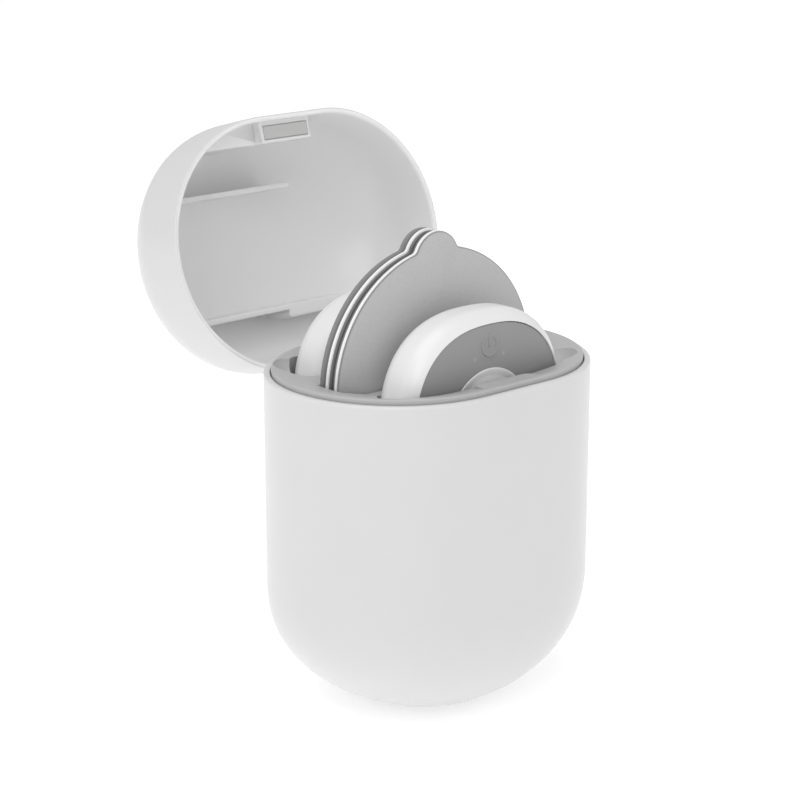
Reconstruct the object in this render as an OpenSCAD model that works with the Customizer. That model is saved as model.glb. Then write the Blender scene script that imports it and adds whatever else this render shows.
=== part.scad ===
// Pocket muscle stimulation massager: two round control units and two round pads
// kept on edge in a charging case whose lid swings back on a pin.
// The origin is the middle of the flat that the case stands on. +X runs along the
// case, -Y is the side with the lid catch, +Z is up.

/* [Case] */
// Overall length of the case at its rim
case_w = 73; // [72:0.5:80]
// Overall depth of the case at its rim
case_d = 55.4; // [55:0.2:60]
// Height of the rim that the lid closes on
rim_h = 73; // [72:0.5:84]
// Height over which the sides curve in to the base
base_round_h = 28.5; // [22:0.5:31]
// Radius of the flat that the case stands on
foot_r = 9; // [8:0.25:11]
// Wall of the case
case_wall = 1.4; // [1.2:0.05:1.5]
// Rounding at the rim
rim_round = 0.4; // [0.2:0.05:0.5]

/* [Lid] */
// Height of the lid above its own rim
lid_h = 33; // [32.5:0.25:38]
// Height over which the lid closes in to its crown
lid_round_h = 22.4; // [20:0.2:24]
// Wall of the lid
lid_wall = 1.2; // [1:0.05:1.3]
// Gap between the two rims when the lid is shut
lid_gap = 0.3; // [0.25:0.05:0.5]
// Angle that the lid stands open at, from shut
lid_open = 105; // [90:1:110]
// Width of the block in the lid that holds the catch plate
catch_w = 13.8; // [13:0.2:16]
// Height of that block's underside above the lid's rim
catch_z = 3; // [2.4:0.1:4]
// Thickness of the two ribs in the lid
rib_t = 1.2; // [0.9:0.1:1.6]
// Height of the free edge of the ribs above the lid's rim
rib_z = 18; // [17.5:0.25:21]
// Distance from the middle of the lid to the front rib
front_rib_y = 12.2; // [11:0.2:14]
// Distance from the middle of the lid to the back rib
back_rib_y = 14; // [13:0.2:15]

/* [Hinge] */
// Radius of the hinge pin
pin_r = 0.75; // [0.6:0.05:0.85]
// Running clearance of the lid arm on the pin
pin_play = 0.05; // [0.03:0.01:0.08]
// Wall of the hinge barrels round the pin
barrel_wall = 0.85; // [0.7:0.05:0.95]
// Distance of the pin below the rim
pin_drop = 4; // [3.8:0.05:4.6]
// Distance of the pin in from the back face
pin_in = 1.1; // [0.9:0.05:1.3]
// Width of the lid arm
arm_w = 9.4; // [8:0.2:11]
// Width of each bracket ear beside the arm
ear_w = 4.2; // [3.4:0.2:5]

/* [Tray] */
// Clearance between the tray and the case
tray_gap = 0.2; // [0.15:0.05:0.25]
// Height of the collar above the rim
collar_h = 1; // [0.8:0.05:1.4]
// Width of the flat top of the collar
collar_w = 1.1; // [0.9:0.1:1.6]
// Wall of the tray
tray_wall = 1.2; // [1:0.05:1.4]
// Depth of the middle of the tray below the rim
dish_d = 1.9; // [1.6:0.1:2.6]
// Radius at which the slope of the tray runs out into its flat middle
dish_r = 13.3; // [11:0.2:15]
// Depth of the tray's skirt below the rim
skirt_d = 22; // [19:0.5:26]
// Clearance round the pieces that stand in the tray
pocket_gap = 0.35; // [0.3:0.05:0.45]
// Thickness of the tray between a control unit and a pad
partition_t = 2.4; // [2.2:0.1:2.8]
// How much further out the rear control unit stands than the front one
rear_out = 2.7; // [2.4:0.1:2.8]
// Radius of the finger scoops beside the control units
scoop_r = 7; // [6:0.2:7.6]
// Length of the magnet
magnet_w = 12; // [9:0.5:13]

/* [Control units] */
// Half the width and height of a control unit
host_r = 22.6; // [22.2:0.1:22.9]
// Thickness of a control unit
host_t = 11; // [10.6:0.1:11.4]
// Depth of a control unit's middle below the rim
host_drop = 8.4; // [8:0.1:9]
// Radius of the rounding at the key side
host_front_round = 4.6; // [4:0.1:5]
// Radius of the rounding at the back
host_back_round = 3.2; // [2.8:0.1:3.6]
// Wall of a control unit's casing
host_wall = 1.4; // [1.2:0.05:1.6]
// Half the width and height of the grey face
face_r = 20; // [19.8:0.1:20.3]
// Crown of the grey face above its edge
face_crown = 0.3; // [0.1:0.05:0.4]
// Thickness of the grey face
face_t = 1.2; // [1:0.05:1.4]
// Radius of the middle key
mid_key_r = 10.9; // [10:0.1:11.4]
// Radius of the power key
power_key_r = 3.1; // [2.6:0.1:3.3]
// Distance of the power key above the middle of the face
power_key_y = 15.6; // [15:0.1:15.7]
// Radial clearance round a key
key_gap = 0.09; // [0.06:0.01:0.12]
// Travel of a key
key_travel = 0.4; // [0.3:0.05:0.45]
// Thickness of the circuit boards
board_t = 1; // [0.8:0.1:1.6]

/* [Pads] */
// Radius of a pad
pad_r = 27.2; // [26:0.1:27.4]
// Radius of the lifting tab
tab_r = 6; // [5:0.1:7]
// Distance of the tab's centre from the middle of the pad
tab_y = 24.6; // [24:0.1:25]
// Thickness of the grey cover
cover_t = 2.1; // [1.8:0.1:2.4]
// Thickness of the white film
film_t = 0.7; // [0.6:0.05:0.9]
// Thickness of the gel
gel_t = 0.55; // [0.4:0.05:0.6]
// Gap between the two pads
pads_apart = 0.95; // [0.8:0.05:1.3]
// Depth of a pad's middle below the rim
pad_drop = 2.2; // [1.8:0.1:2.8]
// Distance of a snap stud from the middle
stud_x = 8; // [7:0.2:9]
// Depth of the snap studs below the rim
stud_drop = 12; // [11:0.2:13]
// Radius of a snap stud's post
stud_r = 1.7; // [1.5:0.1:1.9]

/* [Charging] */
// Length of the case battery
cell_w = 28; // [24:0.5:29]
// Depth of the case battery
cell_d = 24; // [20:0.5:25]
// Height of the case battery
cell_h = 9; // [8:0.25:10]
// Gap between the tray and the charging board
board_below = 1.85; // [1.6:0.05:2.2]
// Width of the charging socket
socket_w = 8.94; // [8.8:0.02:9.1]
// Height of the charging socket
socket_h = 3.26; // [3.16:0.02:3.4]
// Distance of a charging pin from the middle
charge_x = 3; // [2.4:0.1:4]

/* [Hidden] */
$fn = 64;
// A little more than nothing, so that cuts pass right through
over = 1;

half_w = case_w / 2;
half_d = case_d / 2;
straight = half_w - half_d;

// How square the curve of the base is, and how fast its straight sides shorten
base_power = 2.6;
base_shorten = 3.8;
// The same for the lid
lid_power = 2.17;
lid_shorten = 3.3;
// Share of the straight side that is left at the very end of a curve
straight_left = 0.03;
// Sides round the case, rings down the base and rings up the lid
around = 48;
base_rings = 11;
lid_rings = 10;
crown_r = 3;

// Sides on which a control unit or a pad stands
front = -1;
rear = 1;

// Widths of the tray and of what stands in it
tray_r = half_d - case_wall - tray_gap;
pad_t = cover_t + film_t + gel_t;
stack_y = -0.45;
pad_y = (pads_apart + pad_t) / 2;
pad_slot_half = pads_apart / 2 + pad_t + pocket_gap;
unit_y = pad_slot_half + partition_t + pocket_gap + host_t / 2;
// The walls of the pads' pocket end halfway into those of the units' pockets
partition_join = partition_t - tray_wall - tray_wall / 2;
host_z = rim_h - host_drop;
pad_z = rim_h - pad_drop;
stud_h = 0.9;
stud_flange_over = 1.4;
stud_flange_r = stud_r + stud_flange_over;
stud_flange_t = 0.3;
stud_room = stud_flange_t + stud_h + pocket_gap;
// Scoops lie this far out along the straight sides, and this far below the rim
scoop_out = 14.7;
scoop_deep = 3;
scoop_x = straight + scoop_out;
scoop_up = scoop_r - scoop_deep;

// Hinge
barrel_r = pin_r + barrel_wall;
hinge_y = half_d - pin_in;
hinge_z = rim_h - pin_drop;
// Gap beside the arm, and all round the hinge where it stands in the case and the tray
ear_gap = 0.3;
seat_gap = 0.2;
press_gap = 0.01;
ear_x = arm_w / 2 + ear_gap;
bracket_x = ear_x + ear_w;
arm_t = 1.3;
arm_y = half_d - lid_wall - tray_gap - arm_t;
arm_up = 9.5;
stake_r = 1;
stake_x = 2.7;
stake_up = 7;
stake_in = 0.6;
hole_gap = 0.1;
bracket_t = 1.7;
barrel_back_gap = 0.5;
bracket_y = hinge_y - barrel_r - barrel_back_gap - bracket_t;
bracket_below = 9.5;
bracket_bottom = hinge_z - bracket_below;
bracket_under = 0.4;
bracket_top = rim_h - bracket_under;
screw_r = 1;
screw_fit = 0.03;
screw_head_r = 1.9;
screw_head_t = 1;
hinge_screw_l = 1.5;
screw_x = 7;
screw_below = 6.5;
screw_z = hinge_z - screw_below;

// Lid catch
catch_in = 5.8;
catch_y = half_d - catch_in;
catch_h = 5;
plate_t = 0.8;
plate_side = 0.9;
plate_w = catch_w - 2 * plate_side;
plate_d = 2.8;
plate_in = 0.85;
plate_front = catch_y + plate_in;
plate_gap = 0.15;
plate_lip = 0.05;
magnet_t = 1.8;
magnet_h = 2.4;
magnet_in = 0.6;
magnet_front = catch_y + magnet_in;
magnet_under = 0.8;
magnet_top = rim_h + collar_h - magnet_under;
magnet_gap = 0.1;
magnet_side = 1.6;
magnet_box_below = 0.05;
magnet_box_w = magnet_w + 2 * magnet_side;

// Ribs and webs inside the lid, by their right ends and places along X
front_rib_end = 10;
back_rib_end = 5;
thick_rib_x = 4;
thick_rib_end = 22;
thick_rib_in = 1;
thick_rib_t = 3.6;
front_web_x = 2;
back_web_x = 4;
web_t = 1.2;
web_up = 2;

// How square the outline of a control unit is (2 is a circle), and its number of sides
host_power = 2.43;
host_around = 64;

// Control unit, measured from its middle plane towards the keys
host_front_z = host_t / 2;
host_back_z = -host_t / 2;
// How far the casing's lip stands out from the face's edge, along its width and its height
face_lip = 0.2;
face_gap = 0.1;
front_round_r = host_r - host_front_round;
front_round_z = host_front_z - host_front_round;
rim_angle = acos((face_r + face_lip - front_round_r) / host_front_round);
face_edge_z = front_round_z + host_front_round * sin(rim_angle) - face_lip;
face_bottom_z = face_edge_z - face_t;
ledge_share = (face_bottom_z - front_round_z) / (host_front_round - host_wall);
ledge_angle = asin(min(ledge_share, 0.98));
back_round_r = host_r - host_back_round;
cover_gap = 0.2;
cover_r = back_round_r - cover_gap;
mid_key_proud = 0.15;
key_top_z = face_edge_z + face_crown + mid_key_proud;
power_key_proud = 0.1;
power_key_top_z = face_edge_z + power_key_proud;
flange_t = 0.6;
flange_over = 0.8;
flange_gap = 0.1;
key_flange_z = face_bottom_z - flange_gap - flange_t;
host_board_in = 2.4;
host_board_r = host_r - host_wall - host_board_in;
switch_w = 3.6;
switch_h = 1.3;
button_r = 0.9;
button_h = 0.5;
button_gap = 0.05;
button_top_z = key_flange_z - key_travel - button_gap;
host_board_z = button_top_z - button_h - switch_h - board_t;
host_cell_w = 24;
host_cell_h = 20;
host_cell_gap = 0.1;
host_cell_t = host_board_z - host_back_z - host_wall - 2 * host_cell_gap;
snap_over = 0.2;
snap_play = 0.15;
snap_r = stud_flange_r + snap_over;
snap_bore_r = stud_r + snap_play;
snap_back = 0.4;
snap_y = host_drop - stud_drop;
contact_r = 1.2;
contact_t = 1.5;
contact_fit = 0.05;
light_r = 0.5;
light_x = 4;
light_drop = 2.2;
light_y = power_key_y - light_drop;

// Charging
tub_bottom = host_z - host_r - pocket_gap - tray_wall;
case_board_top = tub_bottom - board_below;
case_board_t = 1.6;
case_board_z = case_board_top - case_board_t;
case_board_w = 42;
case_board_d = 38;
board_tail_w = 24;
board_tail_in = 3.2;
board_tail_y = half_d - board_tail_in;
socket_d = 7.35;
socket_wall = 0.3;
socket_back = 1;
socket_in = 0.4;
socket_front = half_d - socket_in;
socket_mid_z = case_board_z - socket_h / 2;
socket_side = (socket_w - socket_h) / 2;
socket_hole_gap = 0.3;
tongue_w = 6.6;
tongue_t = 0.7;
tongue_in = 0.8;
column_r = 2.4;
column_join = 0.4;
cradle_wall = 1.4;
cradle_gap = 0.3;
column_x = cell_w / 2 + cradle_wall + column_r - column_join;
column_y = 9;
column_up = 2;
cradle_z = 8;
cradle_floor = 1.6;
cradle_h = 7;
cradle_foot_r = foot_r - 2 * case_wall;
board_screw_l = 5;
floor_more = 0.2;
floor_z = case_wall + floor_more;
pin_barrel_r = 0.9;
pin_tip_r = 0.5;
pin_press = 0.25;

// Curve of a dome from its wide end (turn = 0) to its crown: how wide, and how far along
function dome_wide(turn, power) = pow(cos(turn), 2 / power);
function dome_along(turn, power) = pow(sin(turn), 2 / power);
function last_turn(end_r, wide_r, power) = acos(pow(end_r / wide_r, power / 2));

// One level outline: two half circles joined by straight sides
function outline(depth, side, z) = [
    for (end = [0, 1])
        for (i = [0 : around / 2])
            let (a = 180 * end - 90 + 360 * i / around)
                [(1 - 2 * end) * side + depth * cos(a), depth * sin(a), z]
];

// Outlines of a dome from its wide end to its crown, starting at z and rising by h
// (or falling, where h is negative)
function dome(depth, z, h, end_r, power, shorten, rings, inset = 0) =
    let (last = last_turn(end_r, depth, power), full = dome_along(last, power))
        [for (j = [0 : rings])
            let (turn = last * j / rings, k = dome_wide(turn, power))
                outline(
                    depth * k,
                    straight * (straight_left + (1 - straight_left) * pow(k, shorten)),
                    z + h * dome_along(turn, power) / full
                )];

// Place of a control unit's middle plane along Y from the middle of the stack
function host_y(side) = unit_y + (side == rear ? rear_out : 0);

// Point at an angle of a control unit's squared round outline, and how far below its
// middle the outline passes at a distance x
function squared(r, a) = [
    r * sign(cos(a)) * pow(abs(cos(a)), 2 / host_power),
    r * sign(sin(a)) * pow(abs(sin(a)), 2 / host_power)
];
function squared_drop(x) = host_r * pow(1 - pow(x / host_r, host_power), 1 / host_power);

// Squared outlines through a profile of (half width, height)
function squared_rings(profile) = [
    for (p = profile) [
        for (i = [0 : host_around - 1]) let (at = squared(p[0], 360 * i / host_around))
            [at[0], at[1], p[1]]
    ]
];

function backwards(list) = [for (i = [len(list) - 1 : -1 : 0]) list[i]];

// A closed skin through outlines in order, capped at its first and last outline
module skin(rings) {
    n = len(rings[0]);
    polyhedron(
        points = [for (ring = rings) for (p = ring) p],
        faces = concat(
            [[for (i = [0 : n - 1]) i]],
            [for (j = [0 : len(rings) - 2]) for (i = [0 : n - 1])
                [j * n + i, (j + 1) * n + i, (j + 1) * n + (i + 1) % n]],
            [for (j = [0 : len(rings) - 2]) for (i = [0 : n - 1])
                [j * n + i, (j + 1) * n + (i + 1) % n, j * n + (i + 1) % n]],
            [[for (i = [n - 1 : -1 : 0]) (len(rings) - 1) * n + i]]
        ),
        convexity = 8
    );
}

// A profile of (distance from the middle line, height) carried round the case outline
module round_the_case() {
    for (end = [0, 1]) rotate([0, 0, 180 * end])
        translate([straight, 0, 0]) rotate([0, 0, -90]) rotate_extrude(angle = 180) children();
    for (end = [0, 1]) rotate([0, 0, 180 * end])
        translate([-straight, 0, 0]) rotate([90, 0, 90]) linear_extrude(2 * straight) children();
}

module block(low, high) {
    translate(low) cube(high - low);
}

// A bar along Y between two depths
module bar_y(r, y0, y1) {
    translate([0, y1, 0]) rotate([90, 0, 0]) cylinder(r = r, h = y1 - y0);
}

module case_shell() {
    color("white") difference() {
        skin(concat(
            backwards(dome(half_d, base_round_h, -base_round_h, foot_r, base_power,
                base_shorten, base_rings)),
            [outline(half_d, straight, rim_h - rim_round)],
            [outline(half_d - rim_round, straight, rim_h)],
            [outline(half_d - case_wall, straight, rim_h)],
            dome(half_d - case_wall, base_round_h, floor_z - base_round_h, foot_r - case_wall / 2,
                base_power, base_shorten, base_rings)
        ));
        // Opening for the hinge in the back wall
        block([-bracket_x - seat_gap, hinge_y - barrel_r - seat_gap, hinge_z - barrel_r - 2 * seat_gap],
            [bracket_x + seat_gap, half_d + over, rim_h + over]);
        // Slot in the back wall for the charging socket
        socket_bar(half_d - 3 * case_wall, half_d + over, socket_hole_gap);
    }
}

// The charging socket's flat bar with round ends, between two depths, larger by a gap
module socket_bar(y0, y1, gap) {
    for (side = [-1, 1]) translate([side * socket_side, 0, socket_mid_z])
        bar_y(socket_h / 2 + gap, y0, y1);
    block([-socket_side, y0, socket_mid_z - socket_h / 2 - gap],
        [socket_side, y1, socket_mid_z + socket_h / 2 + gap]);
}

// Top of the tray from the outer wall to its middle, as (distance, height above the rim)
tray_top = [
    [tray_r, collar_h - rim_round],
    [tray_r - rim_round, collar_h],
    [tray_r - collar_w, collar_h],
    [dish_r, -dish_d],
    [0, -dish_d]
];

// Space that a disc of radius r takes on its way in, with a margin all round
module pocket(y0, y1, r, z, margin, top) {
    translate([0, 0, z]) bar_y(r + margin, y0 - margin, y1 + margin);
    block([-r - margin, y0 - margin, z], [r + margin, y1 + margin, top]);
}

module pockets(margin, top, join) {
    for (side = [-1, 1])
        translate([0, stack_y + side * host_y(side) + host_t / 2 + pocket_gap + margin, host_z])
            rotate([90, 0, 0]) linear_extrude(host_t + 2 * pocket_gap + 2 * margin)
                squared_pocket(host_r + pocket_gap + margin, top - host_z);
    pocket(stack_y - pad_slot_half - join, stack_y + pad_slot_half + join,
        pad_r + pocket_gap, pad_z, margin, top);
}

// Half a squared outline below its middle with straight sides above it
module squared_pocket(r, top) {
    polygon(concat(
        [for (i = [host_around / 2 : host_around]) squared(r, 360 * i / host_around)],
        [[r, top], [-r, top]]
    ));
}

// Finger scoops at both ends of each control unit
module scoops(r) {
    for (side = [-1, 1]) for (end = [-1, 1])
        translate([end * scoop_x, stack_y + side * host_y(side), rim_h + scoop_up])
            sphere(r = r);
}

module inner_tray() {
    color("gainsboro") difference() {
        union() {
            // Collar, dish and skirt
            translate([0, 0, rim_h]) round_the_case() polygon(concat(tray_top, [
                [0, -dish_d - tray_wall],
                [dish_r, -dish_d - tray_wall],
                [tray_r - tray_wall, collar_h - tray_wall - collar_w],
                [tray_r - tray_wall, -skirt_d],
                [tray_r, -skirt_d]
            ]));
            // Walls of the pockets and scoops, which end in the middle of the dish and skirt
            intersection() {
                translate([0, 0, rim_h]) round_the_case() polygon([
                    [0, -dish_d - tray_wall / 2],
                    [dish_r, -dish_d - tray_wall / 2],
                    [tray_r - tray_wall / 2, collar_h - tray_wall / 2 - collar_w / 2],
                    [tray_r - tray_wall / 2, -rim_h],
                    [0, -rim_h]
                ]);
                union() {
                    pockets(tray_wall, rim_h, partition_join);
                    scoops(scoop_r + tray_wall);
                    block([-bracket_x, stack_y + host_y(rear), bracket_bottom],
                        [bracket_x, bracket_y, rim_h - dish_d]);
                }
            }
            // Housing of the catch magnet, as good as level with the collar
            block([-magnet_box_w / 2, -tray_r + tray_wall / 2, rim_h - dish_d],
                [magnet_box_w / 2, -catch_y, rim_h + collar_h - magnet_box_below]);
        }
        pockets(0, rim_h + pad_r, 0);
        scoops(scoop_r);
        // Channels that the snap studs slide down
        for (side = [-1, 1]) translate([side * stud_x, stack_y, 0])
            block([-stud_flange_r - pocket_gap, -pad_slot_half - stud_room,
                rim_h - stud_drop - stud_flange_r - pocket_gap],
                [stud_flange_r + pocket_gap, pad_slot_half + stud_room, rim_h + over]);
        // Seat of the hinge bracket
        block([-bracket_x - seat_gap, bracket_y, bracket_bottom - tray_wall],
            [bracket_x + seat_gap, half_d, rim_h + collar_h + over]);
        for (side = [-1, 1]) translate([side * screw_x, 0, screw_z])
            bar_y(screw_r, bracket_y - hinge_screw_l - hole_gap, bracket_y + over);
        // Seat of the magnet, open below
        block([-magnet_w / 2 - magnet_gap, -magnet_front - magnet_t - magnet_gap,
            rim_h - 2 * magnet_h],
            [magnet_w / 2 + magnet_gap, -magnet_front + magnet_gap, magnet_top]);
        // Holes for the charging pins
        for (side = [-1, 1]) for (end = [-1, 1])
            translate([end * charge_x, stack_y + side * host_y(side), tub_bottom - over])
                cylinder(r = pin_barrel_r + hole_gap, h = 2 * tray_wall + over);
    }
}

module latch_magnet() {
    color("dimgray")
        block([-magnet_w / 2, -magnet_front - magnet_t, magnet_top - magnet_h],
            [magnet_w / 2, -magnet_front, magnet_top]);
}

module barrel(x0, x1, r) {
    translate([x0, hinge_y, hinge_z]) rotate([0, 90, 0]) cylinder(r = r, h = x1 - x0);
}

module hinge_bracket() {
    color("silver") difference() {
        union() {
            block([-bracket_x, bracket_y, bracket_bottom],
                [bracket_x, bracket_y + bracket_t, bracket_top]);
            for (side = [0, 1]) mirror([side, 0, 0]) {
                block([ear_x, bracket_y + bracket_t / 2, hinge_z - barrel_r],
                    [bracket_x, half_d - seat_gap / 2, bracket_top]);
                barrel(ear_x, bracket_x, barrel_r);
            }
        }
        barrel(-bracket_x - over, bracket_x + over, pin_r + press_gap);
        for (side = [-1, 1]) translate([side * screw_x, 0, screw_z])
            bar_y(screw_r + hole_gap, bracket_y - over, half_d);
    }
}

module hinge_pin() {
    color("silver") barrel(-bracket_x, bracket_x, pin_r);
}

module hinge_screws() {
    color("silver") for (side = [-1, 1]) translate([side * screw_x, 0, screw_z]) {
        bar_y(screw_r - screw_fit, bracket_y - hinge_screw_l, bracket_y + bracket_t + screw_head_t);
        bar_y(screw_head_r, bracket_y + bracket_t, bracket_y + bracket_t + screw_head_t);
    }
}

module battery_cradle() {
    wide = cell_w / 2 + cradle_gap;
    deep = cell_d / 2 + cradle_gap;
    color("gainsboro") difference() {
        union() {
            translate([0, 0, floor_z]) cylinder(r = cradle_foot_r, h = cradle_z - floor_z + over);
            block([-wide - cradle_wall, -deep - cradle_wall, cradle_z],
                [wide + cradle_wall, deep + cradle_wall, cradle_z + cradle_h]);
            at_columns(cradle_z + column_up)
                cylinder(r = column_r, h = case_board_z - cradle_z - column_up);
        }
        block([-wide, -deep, cradle_z + cradle_floor], [wide, deep, cradle_z + cradle_h + over]);
        at_columns(case_board_z - board_screw_l - over)
            cylinder(r = screw_r, h = board_screw_l + 2 * over);
    }
}

// Places its children at the four columns that carry the charging board
module at_columns(z) {
    for (side = [-1, 1]) for (end = [-1, 1])
        translate([end * column_x, side * column_y, z]) children();
}

module case_battery() {
    color("silver") block([-cell_w / 2, -cell_d / 2, cradle_z + cradle_floor],
        [cell_w / 2, cell_d / 2, cradle_z + cradle_floor + cell_h]);
}

module charging_board() {
    color("darkgreen") difference() {
        union() {
            block([-case_board_w / 2, -case_board_d / 2, case_board_z],
                [case_board_w / 2, case_board_d / 2, case_board_top]);
            block([-board_tail_w / 2, 0, case_board_z],
                [board_tail_w / 2, board_tail_y, case_board_top]);
        }
        at_columns(case_board_z - over)
            cylinder(r = screw_r + hole_gap, h = case_board_t + 2 * over);
    }
}

module charging_socket() {
    color("silver") {
        difference() {
            socket_bar(socket_front - socket_d, socket_front, 0);
            socket_bar(socket_front - socket_d + socket_back, socket_front + over, -socket_wall);
        }
        block([-tongue_w / 2, socket_front - socket_d + socket_back / 2, socket_mid_z - tongue_t / 2],
            [tongue_w / 2, socket_front - tongue_in, socket_mid_z + tongue_t / 2]);
    }
}

module board_screws() {
    color("silver") {
        at_columns(case_board_z - board_screw_l)
            cylinder(r = screw_r - screw_fit, h = board_screw_l + case_board_t + screw_head_t);
        at_columns(case_board_top) cylinder(r = screw_head_r, h = screw_head_t);
    }
}

module charge_pins(side) {
    tip = host_z - squared_drop(charge_x) - pin_press;
    color("gold") for (end = [-1, 1])
        translate([end * charge_x, stack_y + side * host_y(side), case_board_top]) {
            cylinder(r = pin_barrel_r, h = tub_bottom + tray_wall - seat_gap - case_board_top);
            cylinder(r = pin_tip_r, h = tip - case_board_top);
        }
}

// Turns what is drawn shut about the hinge to where the lid stands open
module opened() {
    translate([0, hinge_y, hinge_z]) rotate([-lid_open, 0, 0]) translate([0, -hinge_y, -hinge_z])
        children();
}

lid_z = rim_h + lid_gap;
lid_side = lid_h - lid_round_h;

// Outlines of the lid from its rim to its crown, drawn in by an inset
function lid_outlines(inset) = concat(
    [outline(half_d - inset, straight, lid_z)],
    dome(half_d - inset, lid_z + lid_side, lid_round_h - inset, crown_r, lid_power,
        lid_shorten, lid_rings)
);

module lid_shell() {
    edge = [outline(half_d - rim_round, straight, lid_z)];
    middle = lid_wall / 2;
    color("white") opened() difference() {
        union() {
            skin(concat(
                backwards(lid_outlines(lid_wall)),
                edge,
                [outline(half_d, straight, lid_z + rim_round)],
                [for (i = [1 : lid_rings + 1]) lid_outlines(0)[i]]
            ));
            intersection() {
                skin(lid_outlines(middle));
                union() {
                    // Ribs along the lid, free at their lower edge
                    block([-half_w, -front_rib_y - rib_t, lid_z + rib_z],
                        [front_rib_end, -front_rib_y, lid_z + lid_h]);
                    block([-half_w, back_rib_y, lid_z + rib_z],
                        [back_rib_end, back_rib_y + rib_t, lid_z + lid_h]);
                    // Thick right part of the back rib, and the two webs behind the ribs
                    translate([0, back_rib_y - thick_rib_in, 0])
                        block([thick_rib_x, 0, lid_z + rib_z],
                            [thick_rib_end, thick_rib_t, lid_z + lid_h]);
                    block([front_web_x, -half_d, lid_z + rib_z + web_up],
                        [front_web_x + web_t, -front_rib_y, lid_z + lid_h]);
                    block([back_web_x, back_rib_y, lid_z + rib_z + web_up],
                        [back_web_x + web_t, half_d, lid_z + lid_h]);
                    // Block that holds the catch plate
                    block([-catch_w / 2, -half_d, lid_z + catch_z],
                        [catch_w / 2, -catch_y, lid_z + catch_z + catch_h]);
                }
            }
            // Stakes that hold the hinge arm
            for (side = [-1, 1]) translate([side * stake_x, 0, lid_z + stake_up])
                bar_y(stake_r, arm_y - stake_in, half_d - middle);
        }
        // Seat of the catch plate
        block([-plate_w / 2 - plate_gap, -plate_front - plate_d - plate_gap, lid_z + catch_z - over],
            [plate_w / 2 + plate_gap, -plate_front + plate_gap, lid_z + catch_z + plate_lip + plate_t]);
    }
}

module latch_plate() {
    color("silver") opened()
        block([-plate_w / 2, -plate_front - plate_d, lid_z + catch_z + plate_lip],
            [plate_w / 2, -plate_front, lid_z + catch_z + plate_lip + plate_t]);
}

module hinge_arm() {
    color("silver") opened() difference() {
        union() {
            block([-arm_w / 2, arm_y, hinge_z], [arm_w / 2, arm_y + arm_t, lid_z + arm_up]);
            block([-arm_w / 2, arm_y, hinge_z], [arm_w / 2, half_d - seat_gap, rim_h - ear_gap]);
            barrel(-arm_w / 2, arm_w / 2, barrel_r);
        }
        barrel(-arm_w / 2 - over, arm_w / 2 + over, pin_r + pin_play);
        for (side = [-1, 1]) translate([side * stake_x, 0, lid_z + stake_up])
            bar_y(stake_r + hole_gap, arm_y - over, half_d);
    }
}

// Lays out a disc-shaped unit so that its own +Z faces out of the stack and its own +Y is up
module stand(side, y, z) {
    translate([0, stack_y + side * y, z]) rotate([0, 0, side > 0 ? 180 : 0]) rotate([90, 0, 0])
        children();
}

// Outer edge of a control unit from the key side round to the back, drawn in by an inset
function host_edge(inset, first) = concat(
    [for (i = [0 : 7]) let (a = first * (1 - i / 7))
        [front_round_r + (host_front_round - inset) * cos(a),
            front_round_z + (host_front_round - inset) * sin(a)]],
    [for (i = [0 : 5]) let (a = -90 * i / 5)
        [back_round_r + (host_back_round - inset) * cos(a),
            host_back_z + host_back_round + (host_back_round - inset) * sin(a)]]
);

module host_shell(side) {
    color("white") stand(side, host_y(side), host_z) difference() {
        skin(squared_rings(backwards(host_edge(0, rim_angle))));
        skin(squared_rings(concat(
            [[back_round_r, host_back_z - over]],
            backwards(host_edge(host_wall, ledge_angle)),
            [[face_r + face_gap, face_bottom_z], [face_r + face_gap, host_front_z + over]]
        )));
        for (end = [-1, 1]) translate([end * charge_x, -host_r + 2 * contact_t, 0])
            rotate([90, 0, 0]) cylinder(r = contact_r + contact_fit, h = 2 * contact_t + over);
    }
}

module host_back_cover(side) {
    color("whitesmoke") stand(side, host_y(side), host_z) difference() {
        skin(squared_rings([[cover_r, host_back_z], [cover_r, host_back_z + host_wall]]));
        for (end = [-1, 1]) translate([end * stud_x, snap_y, host_back_z - over])
            cylinder(r = snap_r + contact_fit, h = host_wall + 2 * over);
    }
}

module host_face(side) {
    crown_bow = (face_r * face_r + face_crown * face_crown) / (2 * face_crown);
    color("darkgray") stand(side, host_y(side), host_z) difference() {
        // The dome of the face ends inside the hole for the middle key
        skin(squared_rings(concat(
            [[face_r, face_bottom_z]],
            [for (i = [0 : 4]) let (r = face_r * (1 - i / 8))
                [r, face_edge_z + face_crown - crown_bow + sqrt(crown_bow * crown_bow - r * r)]]
        )));
        translate([0, 0, face_bottom_z - over]) {
            cylinder(r = mid_key_r + key_gap, h = face_t + 3 * over);
            translate([0, power_key_y, 0]) cylinder(r = power_key_r + key_gap, h = face_t + 3 * over);
            for (end = [-1, 1]) translate([end * light_x, light_y, 0])
                cylinder(r = light_r + contact_fit, h = face_t + 3 * over);
        }
    }
}

module key(side, r, y, top) {
    color("gray") stand(side, host_y(side), host_z) translate([0, y, 0]) {
        translate([0, 0, key_flange_z]) cylinder(r = r + flange_over, h = flange_t);
        translate([0, 0, key_flange_z]) cylinder(r = r, h = top - key_flange_z);
    }
}

module host_board(side) {
    color("darkgreen") stand(side, host_y(side), host_z)
        translate([0, 0, host_board_z]) cylinder(r = host_board_r, h = board_t);
}

module host_switches(side) {
    color("black") stand(side, host_y(side), host_z)
        for (y = [0, power_key_y]) translate([0, y, host_board_z + board_t]) {
            translate([-switch_w / 2, -switch_w / 2, 0]) cube([switch_w, switch_w, switch_h]);
            cylinder(r = button_r, h = button_top_z - host_board_z - board_t);
        }
}

module host_battery(side) {
    color("silver") stand(side, host_y(side), host_z)
        translate([-host_cell_w / 2, -host_cell_h / 2, host_back_z + host_wall + host_cell_gap])
            cube([host_cell_w, host_cell_h, host_cell_t]);
}

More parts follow.
